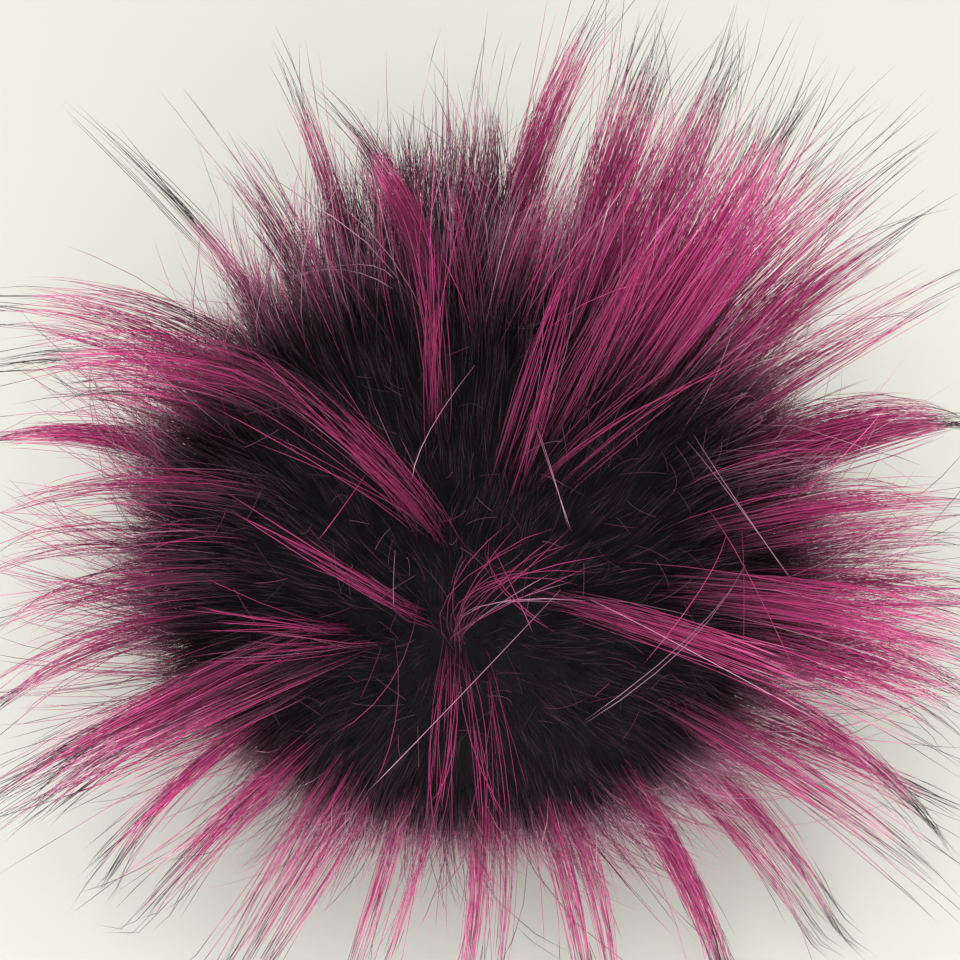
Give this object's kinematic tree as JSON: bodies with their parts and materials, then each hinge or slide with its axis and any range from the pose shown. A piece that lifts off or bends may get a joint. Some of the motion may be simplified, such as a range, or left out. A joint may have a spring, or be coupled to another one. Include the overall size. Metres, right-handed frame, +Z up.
{
  "type": "faux-fur pom pom",
  "caption": "Ball of long-pile faux fur with dark underfur and magenta guard-hair locks, to trim a hat, bag or key ring; it lies on a small flat spot.",
  "frame": {"origin": "centre of the flat spot that the ball rests on", "axes": "+Z up, away from the surface it lies on; -Y is the front, where the hair parts in a whorl; +X is to the right seen from the front"},
  "size_m": [0.1251, 0.1187, 0.0762],
  "materials": {
    "fur": "long-pile faux fur: near-black plum underfur, guard hairs plum at the root, magenta in the middle and black at the tip"
  },
  "bodies": {
    "root": {"fur_ball": "fur"}
  },
  "joints": []
}
